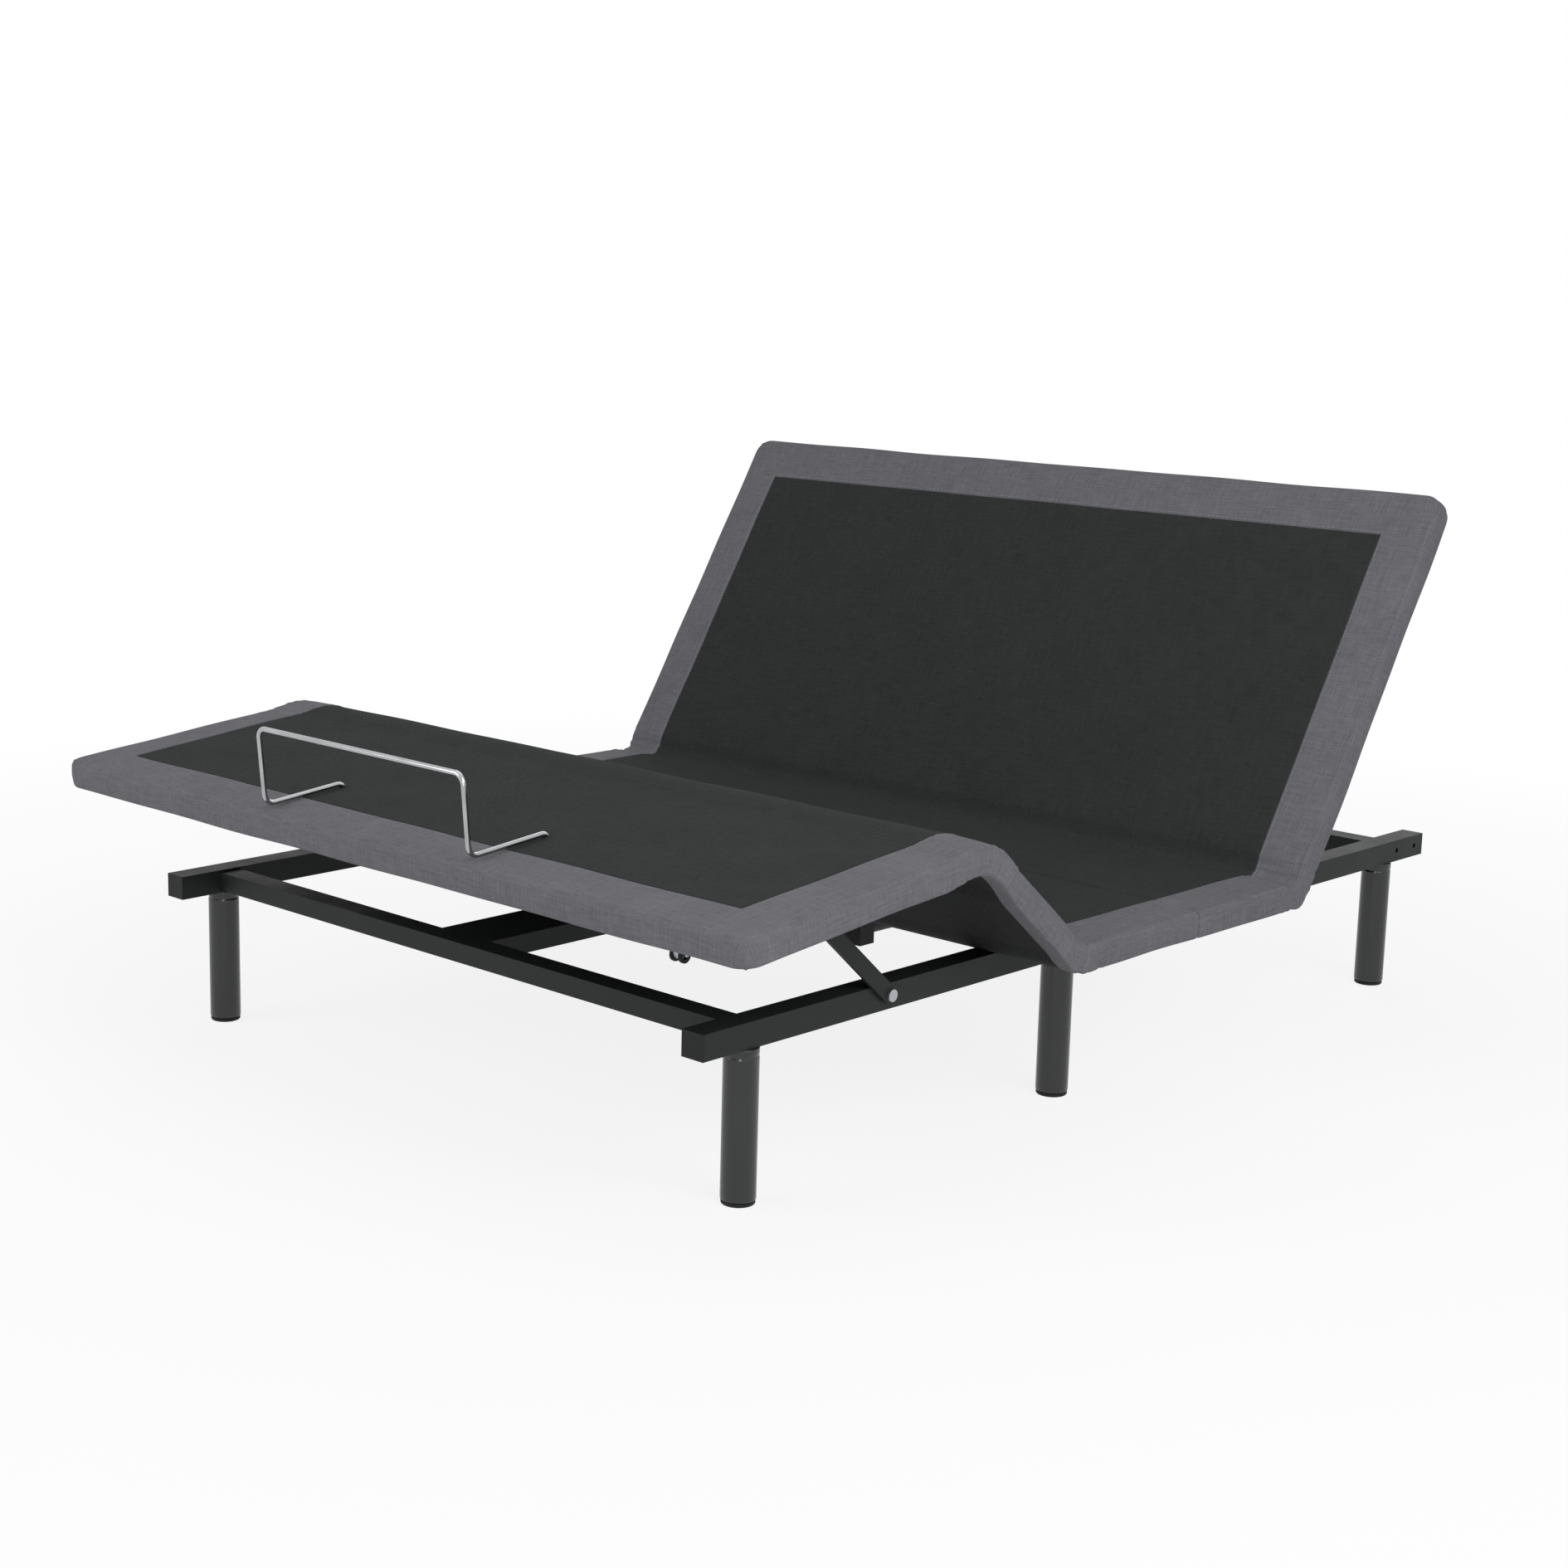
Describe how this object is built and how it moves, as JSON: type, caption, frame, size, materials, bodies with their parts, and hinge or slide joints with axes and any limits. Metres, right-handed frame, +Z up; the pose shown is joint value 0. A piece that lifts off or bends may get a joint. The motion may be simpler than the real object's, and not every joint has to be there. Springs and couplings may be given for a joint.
{
  "type": "adjustable bed base",
  "caption": "Motorised adjustable bed base: hinged upholstered deck on a black steel frame with round legs, lift arms, actuators and a mattress retainer bar.",
  "frame": {"origin": "on the floor under the middle of the bed, as posed at rest", "axes": "+X to the bed's right seen from the foot, +Y from the foot to the head, +Z up"},
  "size_m": [1.524, 1.9583, 0.8991],
  "materials": {
    "frame_paint": "fine textured black powder coat",
    "leg_paint": "satin black paint",
    "border_fabric": "woven grey upholstery with a charcoal non-slip centre",
    "board": "board under a black dust cloth",
    "zinc_steel": "zinc plated",
    "chrome_wire": "polished",
    "black_plastic": "matte moulded"
  },
  "bodies": {
    "base": {"right_rail": "frame_paint", "left_rail": "frame_paint", "rail_end_caps": "black_plastic", "foot_crossbar": "frame_paint", "mid_crossbar": "frame_paint", "seat_crossbar": "frame_paint", "head_crossbar": "frame_paint", "foot_centre_beam": "frame_paint", "seat_centre_beam": "frame_paint", "head_centre_beam": "frame_paint", "leg_foot_right": "leg_paint", "leg_foot_left": "leg_paint", "leg_mid_right": "leg_paint", "leg_mid_left": "leg_paint", "leg_head_right": "leg_paint", "leg_head_left": "leg_paint", "leg_studs": "zinc_steel", "leg_glides": "black_plastic", "seat_front_board": "board", "seat_rear_board": "board", "seat_front_pad": "border_fabric", "seat_rear_pad": "border_fabric", "head_hinge_seat_leaves": "zinc_steel", "seat_hinge_seat_leaves": "zinc_steel", "head_tube_hangers": "frame_paint", "thigh_tube_hangers": "frame_paint", "head_actuator": "black_plastic", "thigh_actuator": "black_plastic", "actuator_motors": "black_plastic", "actuator_brackets": "zinc_steel", "link_bolts": "zinc_steel", "control_box": "black_plastic"},
    "head_section": {"head_board": "board", "head_pad": "border_fabric", "head_hinge_head_leaves": "zinc_steel", "head_runners": "frame_paint"},
    "thigh_section": {"thigh_board": "board", "thigh_pad": "border_fabric", "seat_hinge_thigh_leaves": "zinc_steel", "knee_hinge_thigh_leaves": "zinc_steel", "thigh_runners": "frame_paint"},
    "foot_section": {"foot_board": "board", "foot_pad": "border_fabric", "knee_hinge_foot_leaves": "zinc_steel", "link_brackets": "frame_paint", "retainer_bar": "chrome_wire", "retainer_clamps": "black_plastic"},
    "head_lift": {"head_torque_tube": "frame_paint", "head_lift_arms": "frame_paint"},
    "thigh_lift": {"thigh_torque_tube": "frame_paint", "thigh_lift_arms": "frame_paint"},
    "head_rod": {"head_actuator_rod": "zinc_steel"},
    "thigh_rod": {"thigh_actuator_rod": "zinc_steel"},
    "right_link": {"link_arm_right": "frame_paint"},
    "left_link": {"link_arm_left": "frame_paint"},
    "head_roller_r": {"head_roller_right": "black_plastic"},
    "head_roller_l": {"head_roller_left": "black_plastic"},
    "thigh_roller_r": {"thigh_roller_right": "black_plastic"},
    "thigh_roller_l": {"thigh_roller_left": "black_plastic"}
  },
  "joints": [
    {"name": "head_raise", "type": "hinge", "parent": "base", "child": "head_section", "pos_m": [0, 0.31, 0.294], "axis": [1, 0, 0], "range_deg": [-58, 0]},
    {"name": "thigh_raise", "type": "hinge", "parent": "base", "child": "thigh_section", "pos_m": [0, -0.262, 0.294], "axis": [-1, 0, 0], "range_deg": [-39.5, 0]},
    {"name": "knee_fold", "type": "hinge", "parent": "thigh_section", "child": "foot_section", "pos_m": [0, -0.49023, 0.43846], "axis": [-1, 0, 0], "range_deg": [0, 45]},
    {"name": "head_lift_turn", "type": "hinge", "parent": "base", "child": "head_lift", "pos_m": [0, 0.31, 0.2], "axis": [1, 0, 0], "range_deg": [-47.85, 0]},
    {"name": "thigh_lift_turn", "type": "hinge", "parent": "base", "child": "thigh_lift", "pos_m": [0, -0.262, 0.2], "axis": [-1, 0, 0], "range_deg": [-32.21, 0]},
    {"name": "head_rod_slide", "type": "slide", "parent": "base", "child": "head_rod", "axis": [0, 1, 0], "range_m": [-0.05768, 0]},
    {"name": "thigh_rod_slide", "type": "slide", "parent": "base", "child": "thigh_rod", "axis": [0, -1, 0], "range_m": [-0.03754, 0]},
    {"name": "right_link_swing", "type": "hinge", "parent": "base", "child": "right_link", "pos_m": [0.611, -0.51418, 0.245], "axis": [1, 0, 0], "range_deg": [0, 50.45]},
    {"name": "left_link_swing", "type": "hinge", "parent": "base", "child": "left_link", "pos_m": [-0.611, -0.51418, 0.245], "axis": [1, 0, 0], "range_deg": [0, 50.45]},
    {"name": "head_roller_r_spin", "type": "hinge", "parent": "head_lift", "child": "head_roller_r", "pos_m": [0.1835, 0.4543, 0.40415], "axis": [1, 0, 0], "continuous": true},
    {"name": "head_roller_l_spin", "type": "hinge", "parent": "head_lift", "child": "head_roller_l", "pos_m": [-0.1835, 0.4543, 0.40415], "axis": [1, 0, 0], "continuous": true},
    {"name": "thigh_roller_r_spin", "type": "hinge", "parent": "thigh_lift", "child": "thigh_roller_r", "pos_m": [0.1835, -0.38758, 0.31458], "axis": [1, 0, 0], "continuous": true},
    {"name": "thigh_roller_l_spin", "type": "hinge", "parent": "thigh_lift", "child": "thigh_roller_l", "pos_m": [-0.1835, -0.38758, 0.31458], "axis": [1, 0, 0], "continuous": true}
  ],
  "couplings": [
    {"joint": "knee_fold", "follows": "thigh_raise", "ratio": -1.1392},
    {"joint": "head_lift_turn", "follows": "head_raise", "ratio": 0.82508},
    {"joint": "thigh_lift_turn", "follows": "thigh_raise", "ratio": 0.81551},
    {"joint": "head_rod_slide", "follows": "head_raise", "m_per_rad": 0.056981},
    {"joint": "thigh_rod_slide", "follows": "thigh_raise", "m_per_rad": 0.054449},
    {"joint": "right_link_swing", "follows": "thigh_raise", "ratio": -1.2772},
    {"joint": "left_link_swing", "follows": "thigh_raise", "ratio": -1.2772}
  ]
}
